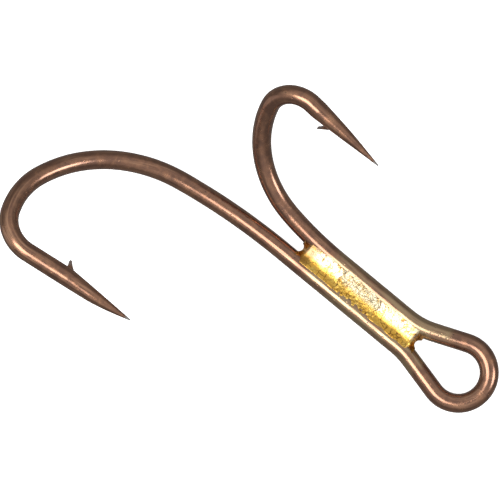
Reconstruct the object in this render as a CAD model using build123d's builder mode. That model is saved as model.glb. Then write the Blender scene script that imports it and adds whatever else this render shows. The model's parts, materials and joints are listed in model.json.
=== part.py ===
"""A double fish hook: one bent wire with an eye and two barbed points, and the braze between its shanks.

The origin is the centre of the eye. +X runs along the shanks, from the bends towards the eye. +Z is
square to the eye's flat loop, on the side where both points rise. +Y is the small hook's side.
"""

from build123d import *
import math
import os

# --- Driving dimensions: millimetres and degrees --------------------------------------------------

# wire and eye
wire_d = 1.3
eye_clear_d = 2.86  # clear hole through the round end of the eye
shank_gap = 0.56  # clear gap between the two shanks
shank_shift = -0.28  # the pair's centre line lies this far beside the eye's centre
large_neck_angle = 14.0  # how steeply each side of the eye runs down to its shank
small_neck_angle = 22.0
neck_bend_r = 5.4  # the wire's centre line turns through this radius from a neck into its shank

# large hook
large_shank = 14.5  # eye centre to the start of the bend
large_rise = 30.0  # tilt of the hook's own plane out of the eye's plane
large_bends = [(41.0, 11.5), (10.0, 60.5), (5.4, 37.5), (2.45, 78.8)]  # radius and turn, from the shank
large_leg = 3.15  # straight wire between the bend and the point
large_point = 5.05  # length of the tapered point
large_point_lean = 0.2  # the tip lies this far outside the wire's centre line
large_barb_at = 4.94  # barb's front root, back from the tip
large_barb_sweep = 0.48  # barb's crest, further back than its front root
large_barb_crest = 0.16  # thickness of the barb's blunt crest

# small hook
small_shank = 11.0
small_rise = 38.0
small_bends = [(22.0, 11.5), (7.45, 69.0), (2.0, 104.5)]
small_leg = 0.6
small_point = 5.4
small_point_lean = 0.05
small_barb_at = 3.94
small_barb_sweep = 0.68
small_barb_crest = 0.06

# points and barbs
tip_d = 0.1
barb_height = 0.52  # above the wire
barb_root = 0.5  # length along the wire
barb_width = 0.42

# braze between the shanks
braze_into_neck = 0.3  # the braze runs past the corner of the small hook's neck by this much
braze_past_shank = 2.3  # and past the end of the small hook's shank by this much
braze_contact = 0.16  # the braze climbs each wire to this far from the wire's top line
braze_dip = 0.13  # depth of the hollow in each face
braze_end_r = 0.36  # radius of the hollow in each end

# --- Derived places -------------------------------------------------------------------------------

wire_r = wire_d / 2
eye_r = eye_clear_d / 2 + wire_r
shank_pitch = wire_d + shank_gap
large_y = shank_shift - shank_pitch / 2
small_y = shank_shift + shank_pitch / 2


def tangent_point(angle, side):
    """Where a neck at this angle leaves the eye's circle, on the +Y (side 1) or -Y (side -1) side."""
    turn = math.radians(angle)
    return (-eye_r * math.sin(turn), side * eye_r * math.cos(turn))


def neck_corner(angle, side, shank_y):
    """Where that neck would meet its shank's line if the bend between them were sharp."""
    turn = math.radians(angle)
    return ((side * shank_y * math.cos(turn) - eye_r) / math.sin(turn), shank_y)


def hook_plane(shank, shank_y, rise, side):
    """A hook's own plane: x away from the eye along the shank, y across the gape."""
    tilt = math.radians(rise)
    across = Vector(0, side * math.cos(tilt), math.sin(tilt))
    away = Vector(-1, 0, 0)
    return Plane(origin=(-shank, shank_y, 0), x_dir=away, z_dir=away.cross(across))


def draw_hook(bends, leg):
    """The wire's centre line from the end of the shank to the start of the point, in the open BuildLine."""
    run = JernArc((0, 0), (1, 0), *bends[0])
    for radius, turn in bends[1:]:
        run = JernArc(run @ 1, run % 1, radius, turn)
    return Line(run @ 1, run @ 1 + leg * (run % 1))


large_plane = hook_plane(large_shank, large_y, large_rise, -1)
small_plane = hook_plane(small_shank, small_y, small_rise, 1)
large_tangent = tangent_point(large_neck_angle, -1)
small_tangent = tangent_point(small_neck_angle, 1)
large_corner = neck_corner(large_neck_angle, -1, large_y)
small_corner = neck_corner(small_neck_angle, 1, small_y)

# --- Hook wire: one length of wire from point to point ---------------------------------------------

with BuildLine(large_plane) as large_line:
    large_end = draw_hook(large_bends, large_leg)

with BuildLine(small_plane) as small_line:
    small_end = draw_hook(small_bends, small_leg)

with BuildLine() as eye_line:
    FilletPolyline((-large_shank, large_y), large_corner, large_tangent, radius=neck_bend_r)
    ThreePointArc(large_tangent, (eye_r, 0), small_tangent)
    FilletPolyline(small_tangent, small_corner, (-small_shank, small_y), radius=neck_bend_r)

wire_path = Wire(large_line.edges() + eye_line.edges() + small_line.edges())


def barbed_point(end, plane, length, lean, barb_at, barb_sweep, barb_crest):
    """The tapered point that carries on from the wire's end, and the barb raised on its gape side."""
    frame = Plane(origin=end @ 1, x_dir=end % 1, z_dir=plane.z_dir)
    root = Plane(origin=frame.origin, x_dir=frame.y_dir, z_dir=frame.x_dir)
    tip = Plane(origin=root.origin + length * frame.x_dir - lean * frame.y_dir, z_dir=frame.x_dir)
    front = length - barb_at
    crest = front - barb_sweep
    with BuildPart() as point:
        with BuildSketch(root):
            Circle(wire_r)
        with BuildSketch(tip):
            Circle(tip_d / 2)
        loft()
        with BuildSketch(frame):
            Polygon(
                (front, wire_r / 2),
                (front, wire_r),
                (crest + barb_crest / 2, wire_r + barb_height),
                (crest - barb_crest / 2, wire_r + barb_height),
                (front - barb_root, wire_r),
                (front - barb_root, wire_r / 2),
                align=None,
            )
        extrude(amount=barb_width / 2, both=True)
    return point.part


large_barb = (large_barb_at, large_barb_sweep, large_barb_crest)
small_barb = (small_barb_at, small_barb_sweep, small_barb_crest)
large_tip = barbed_point(large_end, large_plane, large_point, large_point_lean, *large_barb)
small_tip = barbed_point(small_end, small_plane, small_point, small_point_lean, *small_barb)

with BuildPart() as hook_wire:
    with BuildSketch(Plane(origin=wire_path @ 0, z_dir=wire_path % 0)):
        Circle(wire_r)
    sweep(path=wire_path)
    add(large_tip)
    add(small_tip)

# --- Braze: brass run between the shanks, hollow on both faces and both ends -----------------------

near_x = small_corner[0] + braze_into_neck
far_x = -small_shank - braze_past_shank
face_y = shank_pitch / 2 - braze_contact
face_z = math.sqrt(wire_r**2 - braze_contact**2)
waist_z = face_z - braze_dip
# the large shank is straight as far as here; it is cut from the braze on its own first, because one cut with the
# whole wire leaves that side of the braze uncut
large_bend_start = large_corner[0] - neck_bend_r * math.tan(math.radians(large_neck_angle) / 2)

with BuildPart() as braze:
    with BuildSketch(Plane(origin=(far_x - braze_end_r, shank_shift, 0), x_dir=(0, 1, 0), z_dir=(1, 0, 0))):
        with BuildLine():
            Line((-face_y, -face_z), (-face_y, face_z))
            ThreePointArc((-face_y, face_z), (0, waist_z), (face_y, face_z))
            Line((face_y, face_z), (face_y, -face_z))
            ThreePointArc((face_y, -face_z), (0, -waist_z), (-face_y, -face_z))
        make_face()
    extrude(amount=near_x - far_x + 2 * braze_end_r)
    with Locations((far_x - braze_end_r, shank_shift), (near_x + braze_end_r, shank_shift)):
        Cylinder(braze_end_r, 2 * wire_d, mode=Mode.SUBTRACT)
    with Locations(Plane(origin=(far_x - wire_d, large_y, 0), z_dir=(1, 0, 0))):
        Cylinder(
            wire_r,
            large_bend_start - far_x + wire_d,
            align=(Align.CENTER, Align.CENTER, Align.MIN),
            mode=Mode.SUBTRACT,
        )
    add(hook_wire.part, mode=Mode.SUBTRACT)

# --- Files ------------------------------------------------------------------------------------------

os.makedirs("parts", exist_ok=True)
hook_wire.part.label = "hook_wire"
export_step(hook_wire.part, "parts/hook_wire.step")
braze.part.label = "braze"
export_step(braze.part, "parts/braze.step")
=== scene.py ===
import json
import math

import bmesh
import bpy
from bpy.props import FloatProperty, FloatVectorProperty, IntProperty, PointerProperty
from mathutils import Matrix, Vector
from mathutils.kdtree import KDTree

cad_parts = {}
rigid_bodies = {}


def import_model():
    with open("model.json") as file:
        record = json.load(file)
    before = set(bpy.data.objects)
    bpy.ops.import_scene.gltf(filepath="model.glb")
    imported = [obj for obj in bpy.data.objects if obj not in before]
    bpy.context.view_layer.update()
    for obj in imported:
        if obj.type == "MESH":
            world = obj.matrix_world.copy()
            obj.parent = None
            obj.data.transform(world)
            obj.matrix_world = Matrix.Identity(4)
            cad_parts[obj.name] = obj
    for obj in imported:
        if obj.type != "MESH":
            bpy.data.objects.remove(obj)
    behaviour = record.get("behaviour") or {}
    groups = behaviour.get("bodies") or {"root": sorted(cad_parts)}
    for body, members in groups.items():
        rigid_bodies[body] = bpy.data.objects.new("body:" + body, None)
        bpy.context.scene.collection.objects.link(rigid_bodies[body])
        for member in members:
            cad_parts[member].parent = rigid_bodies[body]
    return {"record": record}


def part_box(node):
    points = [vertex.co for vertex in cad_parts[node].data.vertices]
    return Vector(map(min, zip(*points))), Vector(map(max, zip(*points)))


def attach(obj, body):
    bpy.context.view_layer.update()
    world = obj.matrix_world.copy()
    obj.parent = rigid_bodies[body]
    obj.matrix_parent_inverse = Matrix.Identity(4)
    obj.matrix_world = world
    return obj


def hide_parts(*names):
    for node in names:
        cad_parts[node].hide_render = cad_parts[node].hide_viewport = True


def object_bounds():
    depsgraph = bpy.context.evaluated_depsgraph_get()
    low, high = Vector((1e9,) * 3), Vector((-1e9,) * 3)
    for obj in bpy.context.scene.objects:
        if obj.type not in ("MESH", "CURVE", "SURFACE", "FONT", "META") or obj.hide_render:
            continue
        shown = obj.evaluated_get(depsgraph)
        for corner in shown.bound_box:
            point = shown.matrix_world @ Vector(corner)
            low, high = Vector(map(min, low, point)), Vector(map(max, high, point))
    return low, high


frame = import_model()
CAD_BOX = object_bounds()

bl_info = {
    "name": "Double fish hook",
    "version": (1, 0, 0),
    "blender": (4, 5, 0),
    "location": "3D View > Sidebar > Fish hook",
    "description": "Builds a bronzed double hook with brazed shanks around its CAD frame",
    "category": "Object",
}

MM = 0.001  # one millimetre, in metres
MOUNTS = {mount["name"]: mount for mount in frame["record"]["mounts"]}
WIRE_MM = MOUNTS["eye"]["dims"]["length_mm"]
EYE_HOLE_MM = 2 * MOUNTS["eye"]["dims"]["r_mm"]
BRAZE_LOW, BRAZE_HIGH = (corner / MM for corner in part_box("braze"))

# near black, painted as shade in the nicks
NICK_SHADE = (0.03, 0.02, 0.018)  # linear light, as are all the colours here
# dark brown for the crystals, seams and ends; also used as painted shade at the ends and in the crease along
# the large hook's wire
BROWN_AND_SHADE = (0.24, 0.095, 0.018)
BRAZE_SPARE_MM = 0.12  # the braze is this much too wide until the wire is cut from it
SEAM_LIFT_MM = 0.03  # height of the ridge where the granular stretch starts and ends
GRANULAR_EDGE_MM = 0.05  # half the width of the soft edge where the granular stretch starts and ends
FLASH_EDGE_MM = 0.12  # half the width of the flash's soft edge
BARE_TIP_MM = (0.55, 0.2)  # how far from its end each point starts to turn to bare steel, and has turned
TIP_STEPS = ((0.5, 0.8), (0.3, 0.5))  # rounding of the tips: how far forward, and how much narrower
BARB_STEPS = 6
BARB_NARROWS = 0.8  # upwards, in each step
BARB_THINS = 0.96  # across the wire, in each step
SHADE_ANGLE = 38  # degrees; sharper edges stay sharp

STAGE_RADIUS = 0.9  # metres
LIGHT_DISTANCE = 0.35  # metres from the object
ROOM_LEVELS = ((0.0, 0.22), (0.3, 0.24), (0.6, 0.54), (0.85, 0.60), (1.0, 0.5))  # height and brightness
ROOM_TINT = (1.0, 0.99, 0.97)
SENSOR_MM = 36.0
CAMERA_OVER = (-0.01612, -0.00257)  # metres; the place that the camera looks straight down on
CAMERA_TURN = 39.5  # degrees
CAMERA_BASE = 0.001  # metres; height of the level that the view's width is measured at


# --- Settings -------------------------------------------------------------------------------------


def length(name, description, mm):
    """A size in metres, given here in millimetres."""
    return FloatProperty(
        name=name, description=description, default=mm * MM, subtype="DISTANCE", unit="LENGTH", precision=6
    )


def angle(name, description, degrees):
    """An angle, given here in degrees."""
    return FloatProperty(
        name=name, description=description, default=math.radians(degrees), subtype="ANGLE", unit="ROTATION"
    )


def colour(name, description, rgb):
    """A colour in linear light."""
    return FloatVectorProperty(
        name=name, description=description, default=rgb, subtype="COLOR", size=3, min=0.0, max=1.0
    )


def amount(name, description, default):
    """A plain number, such as a share or a strength."""
    return FloatProperty(name=name, description=description, default=default)


class HOOK_PG_wire(bpy.types.PropertyGroup):
    """The wire and the eye."""

    diameter: length("Wire", "Diameter of the wire", WIRE_MM)
    eye_hole: length("Eye", "Clear hole through the round end of the eye", EYE_HOLE_MM)
    gap: length("Gap", "Clear gap between the two shanks", 0.56)
    shift: length("Shift", "How far the pair of shanks lies beside the eye's centre", -0.28)
    neck_bend: length("Neck bend", "Radius of the wire where a neck meets its shank", 5.4)
    sides: IntProperty(name="Sides", description="Faces round the wire", default=56, min=12)
    step: length("Ring spacing", "Distance between rings of faces along the wire", 0.13)
    point_step: length("Point spacing", "Distance between rings of faces along the leg and the point", 0.065)
    tip: length("Tip", "Diameter of the blunt tip of each point", 0.1)
    barb_height: length("Barb height", "Height of each barb above the wire", 0.52)
    barb_width: length("Barb width", "Width of each barb across the wire", 0.42)
    barb_cut: length("Barb cut", "Length of the flat left on the wire behind each barb", 0.6)
    waver: length("Waver", "Unevenness of the drawn and bent wire", 0.008)


class HOOK_PG_large(bpy.types.PropertyGroup):
    """The large hook."""

    neck: angle("Neck angle", "How steeply the eye's large side runs down to its shank", 14.0)
    rise: angle("Rise", "Tilt of the hook's own plane out of the eye's plane", 30.0)
    shank: length("Shank", "Eye centre to the start of the bend", 14.5)
    radii: FloatVectorProperty(
        name="Bend radii", description="Radius of each arc from the shank to the leg", size=4, unit="LENGTH",
        default=(41.0 * MM, 10.0 * MM, 5.4 * MM, 2.45 * MM),
    )
    turns: FloatVectorProperty(
        name="Bend turns", description="Turn of each arc from the shank to the leg", size=4, unit="ROTATION",
        default=[math.radians(turn) for turn in (11.5, 60.5, 37.5, 78.8)],
    )
    leg: length("Leg", "Straight wire between the bend and the point", 3.15)
    point: length("Point", "Length of the tapered point", 5.05)
    lean: length("Lean", "How far the tip lies outside the wire's centre line", 0.2)
    belly: length("Belly", "How far the outside edge of the point bulges between its root and its tip", 0.16)
    barb_at: length("Barb place", "Distance of the barb's front root from the tip", 4.94)
    barb_sweep: length("Barb sweep", "How far the barb's crest leans back from its front root", 0.48)
    barb_crest: length("Barb crest", "Thickness of the barb's crest", 0.16)
    barb_root: length("Barb root", "Length of the barb's root along the wire", 0.5)
    barb_depth: length("Barb depth", "Depth of the cut behind the barb", 0.07)
    flash_near: length("Flash near end", "Eye centre to the end of the brass flash beside the eye", 2.2)
    flash_far: length("Flash far end", "Eye centre to the end of the brass flash beside the bend", 12.2)


class HOOK_PG_small(bpy.types.PropertyGroup):
    """The small hook."""

    neck: angle("Neck angle", "How steeply the eye's small side runs down to its shank", 22.0)
    rise: angle("Rise", "Tilt of the hook's own plane out of the eye's plane", 38.0)
    shank: length("Shank", "Eye centre to the start of the bend", 11.0)
    radii: FloatVectorProperty(
        name="Bend radii", description="Radius of each arc from the shank to the leg", size=4, unit="LENGTH",
        default=(22.0 * MM, 7.45 * MM, 2.0 * MM, 2.0 * MM),
    )
    turns: FloatVectorProperty(
        name="Bend turns", description="Turn of each arc from the shank to the leg", size=4, unit="ROTATION",
        default=[math.radians(turn) for turn in (11.5, 69.0, 52.0, 52.5)],
    )
    leg: length("Leg", "Straight wire between the bend and the point", 0.6)
    point: length("Point", "Length of the tapered point", 5.4)
    lean: length("Lean", "How far the tip lies outside the wire's centre line", 0.05)
    belly: length("Belly", "How far the outside edge of the point bulges between its root and its tip", 0.07)
    barb_at: length("Barb place", "Distance of the barb's front root from the tip", 3.94)
    barb_sweep: length("Barb sweep", "How far the barb's crest leans back from its front root", 0.68)
    barb_crest: length("Barb crest", "Thickness of the barb's crest", 0.06)
    barb_root: length("Barb root", "Length of the barb's root along the wire", 0.4)
    barb_depth: length("Barb depth", "Depth of the cut behind the barb", 0.025)
    flash_near: length("Flash near end", "Eye centre to the end of the brass flash beside the eye", 1.9)
    flash_far: length("Flash far end", "Eye centre to the end of the brass flash beside the bend", 13.5)


class HOOK_PG_braze(bpy.types.PropertyGroup):
    """The brass run between the shanks."""

    dip: length("Dip", "Depth of the hollow in each face", 0.14)
    dip_shift: length("Dip place", "How far the hollow's deepest line lies beside the braze's middle", -0.26)
    end_hollow: length("End hollow", "Depth of the hollow in each end", 0.26)
    end_radius: length("End radius", "Radius of the hollow in each end", 0.33)
    end_slope: length("End slope", "Length over which the faces run down to each end", 0.65)
    end_dip: length("End dip", "Depth of the faces at each end", 0.45)
    voxel: length("Voxel", "Size of the faces of the remeshed braze", 0.036)
    rough_start: length("Rough start", "Eye centre to the near end of the granular stretch", 7.0)
    rough_end: length("Rough end", "Eye centre to the far end of the granular stretch", 10.2)
    grain: length("Grain", "Height of the grains in the granular stretch", 0.07)
    swell: length("Swell", "Height of the slow unevenness of the braze", 0.03)


class HOOK_PG_finish(bpy.types.PropertyGroup):
    """The colours of the metals."""

    bronze: colour("Bronze", "The bronzed finish of the wire", (0.45, 0.215, 0.118))
    bronze_dark: colour("Dark bronze", "The finish where it is thick", (0.27, 0.125, 0.075))
    copper: colour("Copper", "The finish where it is thin", (0.62, 0.34, 0.20))
    flash: colour("Flash", "The brass flash on the wire beside the braze", (0.52, 0.36, 0.20))
    steel: colour("Steel", "Bare steel at the tips and barbs", (0.42, 0.41, 0.40))
    brass: colour("Brass", "The braze", (1.0, 0.68, 0.15))
    # painted highlight: pale brass that stands in for the key light's reflection on the braze's +Y half
    pale: colour("Pale brass", "The braze where it is clean and bright", (1.0, 0.90, 0.62))
    amber: colour("Amber", "The braze's darker crystals and stains", (0.95, 0.52, 0.07))


class HOOK_PG_stage(bpy.types.PropertyGroup):
    """Floor, lights and camera."""

    floor: colour("Floor", "The pale floor", (0.86, 0.86, 0.86))
    floor_glow: amount("Floor glow", "Light from under the pale floor", 1.1)
    key: amount("Key light", "Power of the main soft light", 0.48)
    side: amount("Side light", "Power of the smaller soft light", 0.25)
    low: amount("Low light", "Power of the wide light near the floor", 0.06)
    world: amount("Surroundings", "Brightness of the room round the stage", 1.0)
    view_width: length("View width", "Width of the camera's view", 33.7)
    lens: FloatProperty(name="Lens", description="Focal length of the camera, in millimetres", default=600.0)


# --- Small tools ----------------------------------------------------------------------------------


def start_clean():
    """Leaves edit mode and deselects everything, so that an operator acts only on what it is given."""
    if bpy.context.object and bpy.context.object.mode != "OBJECT":
        bpy.ops.object.mode_set(mode="OBJECT")
    bpy.ops.object.select_all(action="DESELECT")


def pick(obj):
    """Makes one object the selected and active one."""
    start_clean()
    obj.select_set(True)
    bpy.context.view_layer.objects.active = obj


def edit_vertices(obj, chosen):
    """Opens edit mode with the vertices that the test picks out, and the edges and faces between them."""
    pick(obj)
    bpy.ops.object.mode_set(mode="EDIT")
    bpy.ops.mesh.select_mode(type="VERT")
    bpy.ops.mesh.select_all(action="DESELECT")
    mesh = bmesh.from_edit_mesh(obj.data)
    for vertex in mesh.verts:
        vertex.select_set(chosen(vertex.co))
    mesh.select_flush_mode()
    bmesh.update_edit_mesh(obj.data)


def edit_faces(obj, chosen):
    """Opens edit mode with the faces whose centres the test picks out."""
    pick(obj)
    bpy.ops.object.mode_set(mode="EDIT")
    bpy.ops.mesh.select_mode(type="FACE")
    bpy.ops.mesh.select_all(action="DESELECT")
    mesh = bmesh.from_edit_mesh(obj.data)
    for face in mesh.faces:
        face.select_set(chosen(face.calc_center_median()))
    bmesh.update_edit_mesh(obj.data)


def apply_modifier(obj, kind, **values):
    """Adds a modifier with these values and applies it at once."""
    pick(obj)
    modifier = obj.modifiers.new(kind.title(), kind)
    for name, value in values.items():
        setattr(modifier, name, value)
    bpy.ops.object.modifier_apply(modifier=modifier.name)


def close_skin(obj):
    """Merges doubles and turns every face outwards."""
    pick(obj)
    bpy.ops.object.mode_set(mode="EDIT")
    bpy.ops.mesh.select_all(action="SELECT")
    bpy.ops.mesh.remove_doubles(threshold=0.0005)
    bpy.ops.mesh.normals_make_consistent(inside=False)
    bpy.ops.object.mode_set(mode="OBJECT")


def to_size(obj):
    """Brings a piece modelled at one unit to the millimetre to its real size, with its place in its mesh."""
    pick(obj)
    obj.scale = (MM, MM, MM)
    bpy.ops.object.transform_apply(location=True, rotation=True, scale=True)


# --- The wire's shape -----------------------------------------------------------------------------


class Pull:
    """Pulls the selected ring along straight runs and arcs, and remembers each ring's place and frame."""

    def __init__(self, place, heading, square, step):
        self.place = Vector(place)
        self.heading = Vector(heading)
        self.square = Vector(square)
        self.step = step
        self.gone = 0.0
        self.rings = []
        self.note()

    def note(self):
        over = self.heading.cross(self.square)
        self.rings.append((self.gone, self.place.copy(), self.square.copy(), over))

    def run(self, distance):
        steps = max(1, round(distance / self.step))
        stride = self.heading * (distance / steps)
        bpy.ops.mesh.extrude_repeat(steps=steps, offset=stride, scale_offset=1.0)
        for _ in range(steps):
            self.place += stride
            self.gone += distance / steps
            self.note()

    def turn(self, radius, turned, axis):
        steps = max(2, round(radius * turned / self.step))
        axis = Vector(axis)
        centre = self.place + radius * axis.cross(self.heading)
        bpy.ops.mesh.spin(steps=steps, angle=-turned, center=centre, axis=axis)
        part = Matrix.Rotation(turned / steps, 3, axis)
        for _ in range(steps):
            self.place = centre + part @ (self.place - centre)
            self.heading = part @ self.heading
            self.square = part @ self.square
            self.gone += radius * turned / steps
            self.note()

    def moved(self, matrix, outward):
        """Follows the mesh as a matrix moves it, with the rings' frames turned so the last faces outward."""
        turn = matrix.to_3x3()
        self.place = matrix @ self.place
        self.heading = turn @ self.heading
        square = turn @ self.square
        over = self.heading.cross(square)
        c, s = Vector(outward).dot(square), Vector(outward).dot(over)
        moved = []
        for gone, p, n, b in self.rings:
            moved.append((gone, matrix @ p, turn @ (c * n + s * b), turn @ (c * b - s * n)))
        self.rings = moved
        self.square = c * square + s * over

    def crown_distance(self, x):
        """How far along the wire from its end the shank, which is level, passes this X."""
        level_first = 100
        nearest = min((abs(p.x - x) + level_first * abs(p.z), gone) for gone, p, n, b in self.rings)
        return self.gone - nearest[1]


def point_edges(share, wire_r, tip_r, hook):
    """The point's radius and sideways shift at this share of its length."""
    lean, belly = hook.lean / MM, hook.belly / MM
    gape_edge = wire_r + (tip_r - lean - wire_r) * share
    outer_edge = -wire_r + (wire_r - tip_r - lean) * share - belly * math.sin(math.pi * share)
    outer_edge = max(outer_edge, -wire_r)
    return (gape_edge - outer_edge) / 2, (gape_edge + outer_edge) / 2


def make_point(name, wire, hook):
    """The tapered point along +X from a ring at the origin, with its tip closed. +Y is the gape's side."""
    start_clean()
    wire_r, tip_r = wire.diameter / 2 / MM, wire.tip / 2 / MM
    bpy.ops.mesh.primitive_circle_add(vertices=wire.sides, radius=wire_r, rotation=(0, math.pi / 2, 0))
    bpy.ops.object.transform_apply(location=True, rotation=True, scale=True)
    obj = bpy.context.object
    obj.name = name
    obj.data.name = name
    bpy.ops.object.mode_set(mode="EDIT")
    bpy.ops.mesh.select_all(action="SELECT")
    reach = hook.point / MM
    steps = round(hook.point / wire.point_step)
    radius, middle = wire_r, 0.0
    for k in range(1, steps + 1):
        new_radius, new_middle = point_edges(k / steps, wire_r, tip_r, hook)
        stride = (reach / steps, new_middle - middle, 0)
        bpy.ops.mesh.extrude_region_move(TRANSFORM_OT_translate={"value": stride})
        scale = new_radius / radius
        bpy.ops.transform.resize(value=(scale,) * 3, center_override=(reach * k / steps, new_middle, 0))
        radius, middle = new_radius, new_middle
    for out, share in TIP_STEPS:
        bpy.ops.mesh.extrude_region_move(TRANSFORM_OT_translate={"value": (tip_r * out, 0, 0)})
        bpy.ops.transform.resize(value=(share,) * 3, center_override=(reach + tip_r * out, middle, 0))
    bpy.ops.mesh.extrude_region_move(TRANSFORM_OT_translate={"value": (tip_r * 0.1, 0, 0)})
    bpy.ops.mesh.merge(type="CENTER")
    return obj


def raise_barb(obj, wire, hook):
    """Cuts the flat behind the barb and raises the barb out of the gape side of the leg."""
    wire_r, width = wire.diameter / 2 / MM, wire.barb_width / MM
    front = (hook.point - hook.barb_at) / MM
    root = hook.barb_root / MM
    back = front - root
    cut, depth = wire.barb_cut / MM, hook.barb_depth / MM
    tip_r = wire.tip / 2 / MM

    def edge(along):
        return sum(point_edges(max(0.0, along * MM / hook.point), wire_r, tip_r, hook))

    bpy.ops.object.mode_set(mode="OBJECT")
    for vertex in obj.data.vertices:
        along, up = vertex.co.x, vertex.co.y
        if back - cut <= along <= back + 0.03 and 0 < up < 2 * wire_r:
            vertex.co.y = min(up, edge(along) - depth * (along - back + cut) / cut)

    def in_root(place):
        return back <= place.x <= front and 0 < place.y < 2 * wire_r and abs(place.z) < width / 2

    edit_faces(obj, in_root)
    sweep, height = hook.barb_sweep / MM, wire.barb_height / MM
    crest = hook.barb_crest / MM
    root_middle = (front + back) / 2
    crest_middle = front - sweep
    thick, middle = root, root_middle
    for k in range(1, BARB_STEPS + 1):
        share = k / BARB_STEPS
        eased = math.sin(share * math.pi / 2)
        new_thick = root + (crest - root) * eased
        new_middle = root_middle + (crest_middle - root_middle) * share
        stride = (new_middle - middle, height / BARB_STEPS, 0)
        bpy.ops.mesh.extrude_region_move(TRANSFORM_OT_translate={"value": stride})
        pivot = (new_middle, wire_r + height * share, 0)
        scale = (new_thick / thick, BARB_NARROWS, BARB_THINS)
        bpy.ops.transform.resize(value=scale, center_override=pivot)
        thick, middle = new_thick, new_middle
    bpy.ops.object.mode_set(mode="OBJECT")


def hook_forward(wire, hook, side):
    """From the sizes, the matrix that takes the point's own frame to its place, and the shank's Y."""
    pitch = (wire.diameter + wire.gap) / MM
    shank_y = wire.shift / MM + side * pitch / 2
    across = Vector((0, side * math.cos(hook.rise), math.sin(hook.rise)))
    away = Vector((-1, 0, 0))
    heading, x, y = 0.0, 0.0, 0.0
    for radius, turned in zip(hook.radii, hook.turns):
        r = radius / MM
        x += r * (math.sin(heading + turned) - math.sin(heading))
        y += r * (math.cos(heading) - math.cos(heading + turned))
        heading += turned
    x += hook.leg / MM * math.cos(heading)
    y += hook.leg / MM * math.sin(heading)
    end = Vector((-hook.shank / MM, shank_y, 0)) + x * away + y * across
    forward = math.cos(heading) * away + math.sin(heading) * across
    gapeward = -math.sin(heading) * away + math.cos(heading) * across
    matrix = Matrix((forward, gapeward, forward.cross(gapeward))).transposed().to_4x4()
    matrix.translation = end
    return matrix, shank_y


def make_half(name, wire, hook, side):
    """One side of the wire, from its point to just short of the eye's crown, and the rings it passes."""
    obj = make_point(name, wire, hook)
    bpy.ops.object.mode_set(mode="OBJECT")
    edit_vertices(obj, lambda place: abs(place.x) < 1e-4)
    pull = Pull((0, 0, 0), (-1, 0, 0), (0, 1, 0), wire.point_step / MM)
    pull.run(hook.leg / MM)
    pull.step = wire.step / MM
    for radius, turned in reversed(list(zip(hook.radii, hook.turns))):
        pull.turn(radius / MM, turned, (0, 0, -1))
    raise_barb(obj, wire, hook)
    matrix, shank_y = hook_forward(wire, hook, side)
    pick(obj)
    obj.matrix_world = matrix
    bpy.ops.object.transform_apply(location=True, rotation=True, scale=True)
    pull.moved(matrix, (0, side, 0))
    eye_r = (wire.eye_hole + wire.diameter) / 2 / MM
    neck, bend = hook.neck, wire.neck_bend / MM
    corner_x = (side * shank_y * math.cos(neck) - eye_r) / math.sin(neck)
    tangent = Vector((-eye_r * math.sin(neck), side * eye_r * math.cos(neck), 0))
    trim = bend * math.tan(neck / 2)
    edit_vertices(obj, lambda place: abs(place.x + hook.shank / MM) < 1e-3 and abs(place.z) < 1.0)
    pull.run(corner_x - trim + hook.shank / MM)
    pull.turn(bend, neck, (0, 0, side))
    pull.run((tangent - Vector((corner_x, shank_y, 0))).length - trim)
    short = wire.step / MM / 2 / eye_r
    pull.turn(eye_r, math.pi / 2 + neck - short, (0, 0, -side))
    bpy.ops.object.mode_set(mode="OBJECT")
    return obj, pull


def join_halves(large, small, wire):
    """Joins the two sides across the eye's crown."""
    pick(large)
    small.select_set(True)
    bpy.ops.object.join()
    eye_r = (wire.eye_hole + wire.diameter) / 2 / MM
    half_step = wire.step / MM / 2

    def at_crown(place):
        return place.x > 0 and abs(abs(place.y) - half_step * place.x / eye_r) < 2e-3

    edit_vertices(large, at_crown)
    bpy.ops.mesh.bridge_edge_loops()
    bpy.ops.object.mode_set(mode="OBJECT")
    return large


def straighten(obj, halves):
    """Stores each vertex's place as it would be if the wire were pulled straight: X is the distance from the
    eye's crown, less than 0 on the large hook's side, and Y and Z are the place in the wire's section."""
    rings = []
    for pull, side in halves:
        rings += [(side * (pull.gone - s), p, n, b) for s, p, n, b in pull.rings]
    tree = KDTree(len(rings))
    for k, ring in enumerate(rings):
        tree.insert(ring[1], k)
    tree.balance()
    store = obj.data.attributes.new("straight", "FLOAT_VECTOR", "POINT")
    ends = [max(ring[0] for ring in rings), min(ring[0] for ring in rings)]
    for k, vertex in enumerate(obj.data.vertices):
        s, centre, square, over = rings[tree.find(vertex.co)[1]]
        offset = vertex.co - centre
        if s in ends:
            ahead = over.cross(square)
            s += math.copysign(1, s) * abs(offset.dot(ahead))
        store.data[k].vector = (s, offset.dot(square), offset.dot(over))
    return ends


# --- Finishes -------------------------------------------------------------------------------------


def fill_ramp(node, stops, tint=(1.0, 1.0, 1.0)):
    """Gives a colour ramp its (place, grey) stops, tinted."""
    elements = node.color_ramp.elements
    while len(elements) < len(stops):
        elements.new(0.5)
    for element, (place, grey) in zip(elements, stops):
        element.position = place
        element.color = (*(grey * part for part in tint), 1.0)


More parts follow.
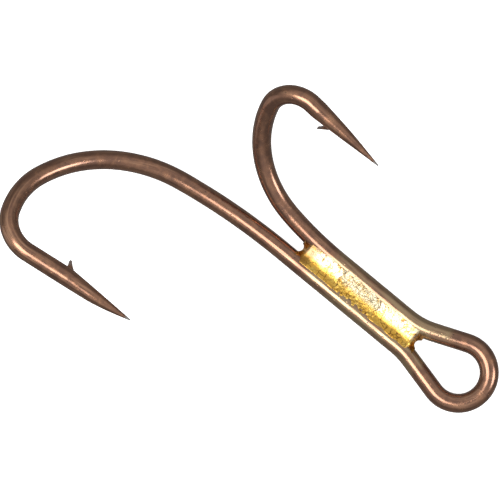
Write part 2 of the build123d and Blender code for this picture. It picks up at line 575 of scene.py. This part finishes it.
class Finish:
    """A node material in the making."""

    def __init__(self, name):
        self.material = bpy.data.materials.new(name)
        self.material.use_nodes = True
        self.tree = self.material.node_tree
        self.shader = self.tree.nodes["Principled BSDF"]

    def add(self, kind, inputs, **settings):
        """A node with these settings and inputs; an input is a plain value or another node's output."""
        node = self.tree.nodes.new("ShaderNode" + kind)
        for name, value in settings.items():
            setattr(node, name, value)
        for name, value in inputs.items():
            self.feed(node.inputs[name], value)
        return node

    def feed(self, socket, value):
        if isinstance(value, bpy.types.NodeSocket):
            self.tree.links.new(value, socket)
        else:
            socket.default_value = value

    def stretch(self, vector, scale):
        return self.add("Mapping", {"Vector": vector, "Scale": scale}).outputs["Vector"]

    def noise(self, vector, scale, detail=3.0, roughness=0.55, twist=0.0):
        values = {"Vector": vector, "Scale": scale, "Detail": detail, "Roughness": roughness}
        values["Distortion"] = twist
        return self.add("TexNoise", values).outputs["Fac"]

    def swirl(self, vector, scale, reach):
        """The vector pushed about by noise, so that a regular pattern wanders."""
        push = self.add("TexNoise", {"Vector": vector, "Scale": scale, "Detail": 3.0}).outputs["Color"]
        moved = self.add("VectorMath", {0: push, 1: (reach,) * 3, 2: vector}, operation="MULTIPLY_ADD")
        return moved.outputs["Vector"]

    def spots(self, vector, scale, size):
        """1 in the middle of scattered spots, fading to 0 at their edges."""
        cells = self.add("TexVoronoi", {"Vector": vector, "Scale": scale, "Randomness": 1.0})
        return self.band(cells.outputs["Distance"], size, 0.0)

    def band(self, value, low, high):
        """0 at low, 1 at high, and smooth between."""
        values = {"Value": value, "From Min": low, "From Max": high}
        return self.add("MapRange", values, interpolation_type="SMOOTHSTEP").outputs["Result"]

    def math(self, operation, first, second):
        return self.add("Math", {0: first, 1: second}, operation=operation).outputs[0]

    def scaled(self, value, factor, start):
        """The value times the factor, plus the start."""
        return self.add("Math", {0: value, 1: factor, 2: start}, operation="MULTIPLY_ADD").outputs[0]

    def blend(self, share, first, second):
        """Colours or outputs blended; colours are given in linear light."""
        inputs = {0: share}
        for socket, side in ((6, first), (7, second)):
            inputs[socket] = side if isinstance(side, bpy.types.NodeSocket) else (*side, 1.0)
        return self.add("Mix", inputs, data_type="RGBA").outputs[2]

    def ramp(self, value, stops):
        """Linear between (place, grey) stops."""
        node = self.add("ValToRGB", {"Fac": value})
        fill_ramp(node, stops)
        return node.outputs["Color"]

    def bump(self, height, depth, normal=None):
        """Bump of this depth in metres where the height is 1."""
        inputs = {"Height": height, "Distance": depth, "Strength": 1.0}
        if normal is not None:
            inputs["Normal"] = normal
        return self.add("Bump", inputs).outputs["Normal"]

    def set(self, **values):
        """Feeds the shader: Base_Color=..., Roughness=..."""
        for name, value in values.items():
            self.feed(self.shader.inputs[name.replace("_", " ")], value)


def bronzed_wire_finish(finish, tips, flash):
    """Bronzed wire with drawing streaks, mottling, and nicks darkened with painted shade, a brass flash
    between the given places, and bare steel at the tips and barbs. All places are distances in millimetres
    from the eye's crown."""
    made = Finish("bronzed_wire")
    place = made.add("Attribute", {}, attribute_name="straight").outputs["Vector"]
    parts = made.add("SeparateXYZ", {"Vector": place})
    along = parts.outputs["X"]
    streaks = made.noise(made.stretch(place, (0.35, 7.0, 7.0)), 1.0, 4.0, 0.6)
    mottle = made.noise(place, 1.6, 5.0, 0.62, 0.6)
    clouds = made.noise(made.stretch(place, (0.5, 1.0, 1.0)), 0.55, 2.0)
    grain = made.noise(made.stretch(place, (3.0, 14.0, 14.0)), 1.0, 3.0, 0.7)
    nicks = made.spots(made.stretch(place, (1.6, 2.6, 2.6)), 1.0, 0.17)
    thin = made.math("MULTIPLY", made.band(streaks, 0.42, 0.72), made.band(clouds, 0.35, 0.65))
    base = made.blend(made.band(mottle, 0.35, 0.75), finish.bronze_dark, finish.bronze)
    base = made.blend(thin, base, finish.copper)
    # the brass flash, with uneven ends, streaked with bronze
    wander = made.math("MULTIPLY", made.math("SUBTRACT", made.noise(place, 1.3, 2.0), 0.5), 0.5)
    low, high = tips
    span = high - low
    ragged = made.math("ADD", along, wander)
    share = made.add("MapRange", {"Value": ragged, "From Min": low, "From Max": high}).outputs["Result"]
    soft = FLASH_EDGE_MM / span
    stops = []
    for start, stop in flash:
        first, last = (start - low) / span, (stop - low) / span
        stops += [(first - soft, 0.0), (first + soft, 1.0), (last - soft, 1.0), (last + soft, 0.0)]
    flashed = made.ramp(share, stops)
    worn = made.band(made.noise(made.stretch(place, (0.3, 2.6, 2.6)), 1.0, 4.0, 0.65), 0.58, 0.44)
    brassy = made.math("MULTIPLY", flashed, made.scaled(worn, 0.75, 0.25))
    base = made.blend(brassy, base, finish.flash)
    # bare steel at the tips and on the barbs
    across = made.add("CombineXYZ", {"Y": parts.outputs["Y"], "Z": parts.outputs["Z"]}).outputs["Vector"]
    reach = made.add("VectorMath", {0: across}, operation="LENGTH").outputs["Value"]
    barb = made.band(made.math("ADD", reach, made.math("MULTIPLY", mottle, 0.2)), 0.86, 1.0)
    bright, bare = BARE_TIP_MM
    small_tip = made.band(along, high - bright, high - bare)
    large_tip = made.band(along, low + bright, low + bare)
    tip = made.math("ADD", small_tip, large_tip)
    base = made.blend(made.math("MAXIMUM", made.math("MULTIPLY", barb, 0.5), tip), base, finish.steel)
    # painted shade: the nicks, sunk as pits by the bump below, are darkened towards near black
    base = made.blend(made.math("MULTIPLY", nicks, 0.6), base, NICK_SHADE)
    rough = made.scaled(made.band(mottle, 0.3, 0.8), 0.14, 0.16)
    relief = made.bump(streaks, 0.000004)
    relief = made.bump(grain, 0.0000015, relief)
    relief = made.bump(mottle, 0.000006, relief)
    relief = made.bump(nicks, -0.000014, relief)
    relief = made.bump(flashed, 0.000012, relief)
    made.set(Base_Color=base, Roughness=rough, Normal=relief, Metallic=1.0)
    made.set(Coat_Weight=0.6, Coat_Roughness=0.2, Coat_IOR=1.8)
    return made.material


def braze_finish(finish, braze):
    """Brass brazing metal: gold with amber crystals and brown stains, a painted highlight of pale brass on
    the +Y half, painted shade at the ends and along the large hook's wire, and a granular middle stretch.
    """
    made = Finish("braze_brass")
    place = made.stretch(made.add("TexCoord", {}).outputs["Object"], (1 / MM,) * 3)
    parts = made.add("SeparateXYZ", {"Vector": place})
    mottle = made.noise(place, 1.7, 5.0, 0.65, 1.2)
    crystals = made.noise(place, 6.0, 4.0, 0.7, 0.9)
    patches = made.noise(made.stretch(place, (0.8, 1.3, 1.0)), 1.1, 3.0)
    far = -braze.rough_end / MM
    near = -braze.rough_start / MM
    wander = made.scaled(made.math("SUBTRACT", mottle, 0.5), 0.8, parts.outputs["X"])
    past_far = made.band(wander, far - GRANULAR_EDGE_MM, far + GRANULAR_EDGE_MM)
    before_near = made.band(wander, near + GRANULAR_EDGE_MM, near - GRANULAR_EDGE_MM)
    granular = made.math("MULTIPLY", past_far, before_near)
    low_side = made.band(parts.outputs["Y"], -0.1, -0.75)
    stain = made.math("MULTIPLY", made.band(patches, 0.40, 0.62), made.scaled(low_side, 0.6, 0.15))
    base = made.blend(made.band(mottle, 0.45, 0.7), finish.brass, finish.amber)
    # painted highlight: pale brass over the +Y half, where the key light's broad reflection falls, broken up
    # by the mottling
    painted_highlight = made.math("MULTIPLY", made.band(parts.outputs["Y"], -0.5, -0.1), made.band(mottle, 0.68, 0.5))
    base = made.blend(stain, made.blend(painted_highlight, base, finish.pale), finish.amber)
    # fine seams between the crystals
    swirled = {"Vector": made.swirl(place, 1.8, 0.35), "Scale": 2.6}
    seams = made.add("TexVoronoi", swirled, feature="DISTANCE_TO_EDGE").outputs["Distance"]
    lines = made.math("MULTIPLY", made.band(seams, 0.075, 0.01), made.band(mottle, 0.38, 0.55))
    dark = made.math("MULTIPLY", made.band(crystals, 0.52, 0.68), made.scaled(granular, 0.35, 0.4))
    # brown at both ends, partly the brass's own brown and partly painted shade where the faces slope down to
    # the ends, painted shade in the crease along the large hook's wire, and dark at the granular stretch's
    # two seams
    uneven = made.scaled(made.math("SUBTRACT", mottle, 0.5), 1.6, parts.outputs["X"])
    far_end = made.band(uneven, BRAZE_LOW.x + 1.6, BRAZE_LOW.x + 0.8)
    near_end = made.band(uneven, BRAZE_HIGH.x - 0.8, BRAZE_HIGH.x - 0.4)
    ends = made.math("MAXIMUM", far_end, near_end)
    # painted shade: a dark line in the crease where the braze meets the large hook's wire
    crease_shade = made.band(made.scaled(made.math("SUBTRACT", mottle, 0.5), 0.7, parts.outputs["Y"]), -0.86, -1.0)
    brown_and_shaded_edges = made.math("MAXIMUM", ends, made.scaled(crease_shade, 0.4, 0.0))
    steps = made.math("MULTIPLY", granular, made.math("SUBTRACT", 3.6, made.math("MULTIPLY", granular, 3.6)))
    dark = made.math("MAXIMUM", made.math("MAXIMUM", dark, lines), steps)
    dark = made.math("MAXIMUM", dark, made.scaled(brown_and_shaded_edges, 0.75, 0.0))
    base = made.blend(dark, base, BROWN_AND_SHADE)
    rough = made.scaled(crystals, 0.3, 0.16)
    relief = made.bump(mottle, 0.00003)
    relief = made.bump(made.math("MULTIPLY", crystals, granular), 0.00004, relief)
    made.set(Base_Color=base, Roughness=rough, Normal=relief, Metallic=1.0)
    made.set(Coat_Weight=0.35, Coat_Roughness=0.25)
    return made.material


def floor_finish(stage):
    """A pale matt floor that glows a little, so that it stays even under the object."""
    made = Finish("pale_floor")
    place = made.add("TexCoord", {}).outputs["Object"]
    cast = made.band(made.noise(place, 9.0, 2.0), 0.3, 0.7)
    tone = made.blend(cast, stage.floor, [c * 0.985 for c in stage.floor])
    made.set(Base_Color=tone, Roughness=0.9, Emission_Color=tone, Emission_Strength=stage.floor_glow)
    made.set(Specular_IOR_Level=0.0)
    return made.material


def dress(obj, material, node):
    """Gives a finished piece its material, its smooth faces and its place in the frame."""
    pick(obj)
    bpy.ops.object.shade_smooth_by_angle(angle=math.radians(SHADE_ANGLE))
    obj.data.materials.clear()
    obj.data.materials.append(material)
    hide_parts(node)
    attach(obj, "root")


# --- Operators ------------------------------------------------------------------------------------


class HOOK_OT_wire(bpy.types.Operator):
    """Builds the bent wire with its eye, its two points and their barbs"""

    bl_idname = "fish_hook.wire"
    bl_label = "Bent wire"

    def execute(self, context):
        scene = context.scene
        wire, hooks = scene.hook_wire, (scene.hook_large, scene.hook_small)
        large, large_pull = make_half("hook_wire_visual", wire, hooks[0], -1)
        small, small_pull = make_half("small_side", wire, hooks[1], 1)
        flash = []
        for pull, hook, side in ((large_pull, hooks[0], -1), (small_pull, hooks[1], 1)):
            edges = [side * pull.crown_distance(-x / MM) for x in (hook.flash_near, hook.flash_far)]
            flash.append(sorted(edges))
        join_halves(large, small, wire)
        close_skin(large)
        uneven = bpy.data.textures.new("drawn_wire", "CLOUDS")
        uneven.noise_scale = 1.4
        waver = 2 * wire.waver / MM
        apply_modifier(large, "DISPLACE", texture=uneven, strength=waver, texture_coords="LOCAL")
        high, low = straighten(large, ((large_pull, -1), (small_pull, 1)))
        tips = (low - hooks[0].point / MM, high + hooks[1].point / MM)
        to_size(large)
        material = bronzed_wire_finish(scene.hook_finish, tips, flash)
        dress(large, material, "hook_wire")
        return {"FINISHED"}


class HOOK_OT_braze(bpy.types.Operator):
    """Builds the brass braze between the two shanks"""

    bl_idname = "fish_hook.braze"
    bl_label = "Braze"

    def execute(self, context):
        wire, braze = context.scene.hook_wire, context.scene.hook_braze
        bent = bpy.data.objects.get("hook_wire_visual")
        if bent is None:
            raise RuntimeError("the bent wire is built before the braze")
        low, high = BRAZE_LOW, BRAZE_HIGH
        middle, size = (low + high) / 2, high - low
        start_clean()
        broad = (size.x, size.y + BRAZE_SPARE_MM, size.z)
        bpy.ops.mesh.primitive_cube_add(size=1, location=middle, scale=broad)
        obj = context.object
        obj.name = obj.data.name = "braze_visual"
        bpy.ops.object.transform_apply(location=True, rotation=True, scale=True)
        hollow = braze.end_hollow / MM
        end_r = braze.end_radius / MM
        for x in (low.x + hollow - end_r, high.x - hollow + end_r):
            start_clean()
            bpy.ops.mesh.primitive_cylinder_add(
                vertices=160, radius=end_r, depth=2 * size.z, location=(x, middle.y, 0)
            )
            cutter = context.object
            apply_modifier(obj, "BOOLEAN", object=cutter, operation="DIFFERENCE", solver="EXACT")
            pick(cutter)
            bpy.ops.object.delete()
        apply_modifier(obj, "REMESH", mode="VOXEL", voxel_size=braze.voxel / MM)
        apply_modifier(obj, "SMOOTH", factor=0.5, iterations=4)
        self.hollow(obj, braze, middle, size)
        self.roughen(obj, braze)
        to_size(obj)
        apply_modifier(obj, "BOOLEAN", object=bent, operation="DIFFERENCE", solver="MANIFOLD")
        self.drop_crumbs(obj, wire.diameter / 8)
        dress(obj, braze_finish(context.scene.hook_finish, braze), "braze")
        return {"FINISHED"}

    def drop_crumbs(self, obj, near):
        """Removes the crumbs left on the wires, loose from the run between them."""
        edit_vertices(obj, lambda place: abs(place.z) < near)
        bpy.ops.mesh.select_linked()
        bpy.ops.mesh.select_all(action="INVERT")
        bpy.ops.mesh.delete(type="VERT")
        bpy.ops.object.mode_set(mode="OBJECT")

    def hollow(self, obj, braze, middle, size):
        """Sinks both faces between the wires; the deepest line lies a little to one side."""
        sink = obj.vertex_groups.new(name="sink")
        deepest = middle.y + braze.dip_shift / MM
        shift = abs(deepest - middle.y)
        half = size.y / 2
        for vertex in obj.data.vertices:
            off = vertex.co.y - deepest
            reach = half - shift if off * braze.dip_shift > 0 else half + shift
            share = min(1.0, abs(off) / reach)
            end = min(1.0, (size.x / 2 - abs(vertex.co.x - middle.x)) * MM / braze.end_slope)
            facing = min(1.0, max(0.0, (abs(vertex.normal.z) - 0.3) / 0.4))
            trough = braze.dip / braze.end_dip * (1 + math.cos(math.pi * share)) / 2
            inner = (1 - math.cos(math.pi * end)) / 2
            sink.add([vertex.index], facing * (1 - (1 - trough) * inner), "REPLACE")
        apply_modifier(obj, "DISPLACE", strength=-braze.end_dip / MM, mid_level=0.0, vertex_group="sink")

    def roughen(self, obj, braze):
        """Slow swells all over, and grains and seams in the middle stretch."""
        start, stop = braze.rough_start / MM, braze.rough_end / MM
        grains = obj.vertex_groups.new(name="grains")
        lift = obj.vertex_groups.new(name="lift")
        for vertex in obj.data.vertices:
            back = -vertex.co.x + 0.12 * math.sin(9 * vertex.co.y + 2)
            inside = min(back - start, stop - back)
            if inside > -0.3:
                grains.add([vertex.index], min(1.0, max(0.0, inside / 0.15 + 0.5)), "REPLACE")
            seam = math.exp(-((inside - 0.05) / 0.06) ** 2)
            lift.add([vertex.index], seam, "REPLACE")
        swells = bpy.data.textures.new("braze_swells", "CLOUDS")
        swells.noise_scale = 0.9
        crystals = bpy.data.textures.new("braze_grains", "CLOUDS")
        crystals.noise_scale = 0.26
        crystals.noise_depth = 3
        swell, grain = 2 * braze.swell / MM, 2 * braze.grain / MM
        apply_modifier(obj, "DISPLACE", texture=swells, strength=swell, texture_coords="LOCAL")
        apply_modifier(
            obj, "DISPLACE", texture=crystals, strength=grain, mid_level=0.55,
            texture_coords="LOCAL", vertex_group="grains",
        )
        apply_modifier(obj, "DISPLACE", strength=SEAM_LIFT_MM, mid_level=0.0, vertex_group="lift")


class HOOK_OT_stage(bpy.types.Operator):
    """Builds the floor, the lights, the surroundings and the camera"""

    bl_idname = "fish_hook.stage"
    bl_label = "Stage"

    def execute(self, context):
        stage = context.scene.hook_stage
        material = floor_finish(stage)
        start_clean()
        under = (0, 0, CAD_BOX[0][2])
        bpy.ops.mesh.primitive_circle_add(vertices=64, radius=STAGE_RADIUS, fill_type="NGON", location=under)
        floor = context.object
        floor.name = "floor"
        start_clean()
        bpy.ops.mesh.primitive_uv_sphere_add(segments=64, ring_count=32, radius=STAGE_RADIUS, location=under)
        dome = context.object
        dome.name = "backdrop"
        for obj in (floor, dome):
            pick(obj)
            bpy.ops.object.transform_apply(location=True, rotation=True, scale=True)
            bpy.ops.object.shade_smooth()
            obj.data.materials.append(material)
            obj.visible_glossy = False
        dome.visible_diffuse = False
        dome.visible_shadow = False
        aim = Vector(((CAD_BOX[0][0] + CAD_BOX[1][0]) / 2, (CAD_BOX[0][1] + CAD_BOX[1][1]) / 2, 0))
        self.light("key_light", aim, (-0.12, -0.33, 0.936), 0.22, stage.key, (1.0, 0.97, 0.92))
        self.light("side_light", aim, (0.74, 0.42, 0.52), 0.15, stage.side, (0.95, 0.97, 1.0))
        self.light("low_light", aim, (-0.62, -0.76, 0.12), 0.26, stage.low, (1.0, 1.0, 1.0))
        self.surroundings(context.scene, stage)
        self.camera(context.scene, stage)
        context.scene.view_settings.view_transform = "Standard"
        return {"FINISHED"}

    def light(self, name, aim, towards, width, power, tint):
        """A round soft light that faces the object from a direction."""
        data = bpy.data.lights.new(name, "AREA")
        data.shape = "DISK"
        data.size = width
        data.energy = power
        data.color = tint
        obj = bpy.data.objects.new(name, data)
        direction = Vector(towards).normalized()
        obj.location = aim + LIGHT_DISTANCE * direction
        obj.rotation_euler = direction.to_track_quat("Z", "Y").to_euler()
        bpy.context.scene.collection.objects.link(obj)

    def surroundings(self, scene, stage):
        """A dim room, brighter overhead than at eye level."""
        world = bpy.data.worlds.new("room")
        scene.world = world
        world.use_nodes = True
        tree = world.node_tree
        background = tree.nodes["Background"]
        place = tree.nodes.new("ShaderNodeTexCoord")
        parts = tree.nodes.new("ShaderNodeSeparateXYZ")
        ramp = tree.nodes.new("ShaderNodeValToRGB")
        tree.links.new(place.outputs["Generated"], parts.inputs["Vector"])
        tree.links.new(parts.outputs["Z"], ramp.inputs["Fac"])
        tree.links.new(ramp.outputs["Color"], background.inputs["Color"])
        fill_ramp(ramp, ROOM_LEVELS, ROOM_TINT)
        background.inputs["Strength"].default_value = stage.world

    def camera(self, scene, stage):
        """A camera straight above the object, turned so that the shanks run across the corner."""
        data = bpy.data.cameras.new("camera")
        data.lens = stage.lens
        data.sensor_width = SENSOR_MM
        data.clip_start = 0.01
        data.clip_end = 10.0
        distance = stage.view_width * stage.lens / SENSOR_MM
        obj = bpy.data.objects.new("camera", data)
        obj.location = (*CAMERA_OVER, distance + CAMERA_BASE)
        obj.rotation_euler = (0, 0, math.radians(CAMERA_TURN))
        scene.collection.objects.link(obj)
        scene.camera = obj


class HOOK_PT_panel(bpy.types.Panel):
    """Settings and steps of the double fish hook"""

    bl_label = "Double fish hook"
    bl_idname = "HOOK_PT_panel"
    bl_space_type = "VIEW_3D"
    bl_region_type = "UI"
    bl_category = "Fish hook"

    def draw(self, context):
        for kind in OPERATORS:
            self.layout.operator(kind.bl_idname)
        for name, group in GROUPS.items():
            box = self.layout.box()
            box.label(text=group.__doc__)
            for key in group.__annotations__:
                box.prop(getattr(context.scene, name), key)


GROUPS = {
    "hook_wire": HOOK_PG_wire,
    "hook_large": HOOK_PG_large,
    "hook_small": HOOK_PG_small,
    "hook_braze": HOOK_PG_braze,
    "hook_finish": HOOK_PG_finish,
    "hook_stage": HOOK_PG_stage,
}
OPERATORS = (HOOK_OT_wire, HOOK_OT_braze, HOOK_OT_stage)


def register():
    for kind in (*GROUPS.values(), *OPERATORS, HOOK_PT_panel):
        bpy.utils.register_class(kind)
    for name, group in GROUPS.items():
        setattr(bpy.types.Scene, name, PointerProperty(type=group))


def unregister():
    for name in GROUPS:
        delattr(bpy.types.Scene, name)
    for kind in reversed((*GROUPS.values(), *OPERATORS, HOOK_PT_panel)):
        bpy.utils.unregister_class(kind)


def main():
    register()
    bpy.ops.fish_hook.wire()
    bpy.ops.fish_hook.braze()
    bpy.ops.fish_hook.stage()


if __name__ == "__main__":
    main()
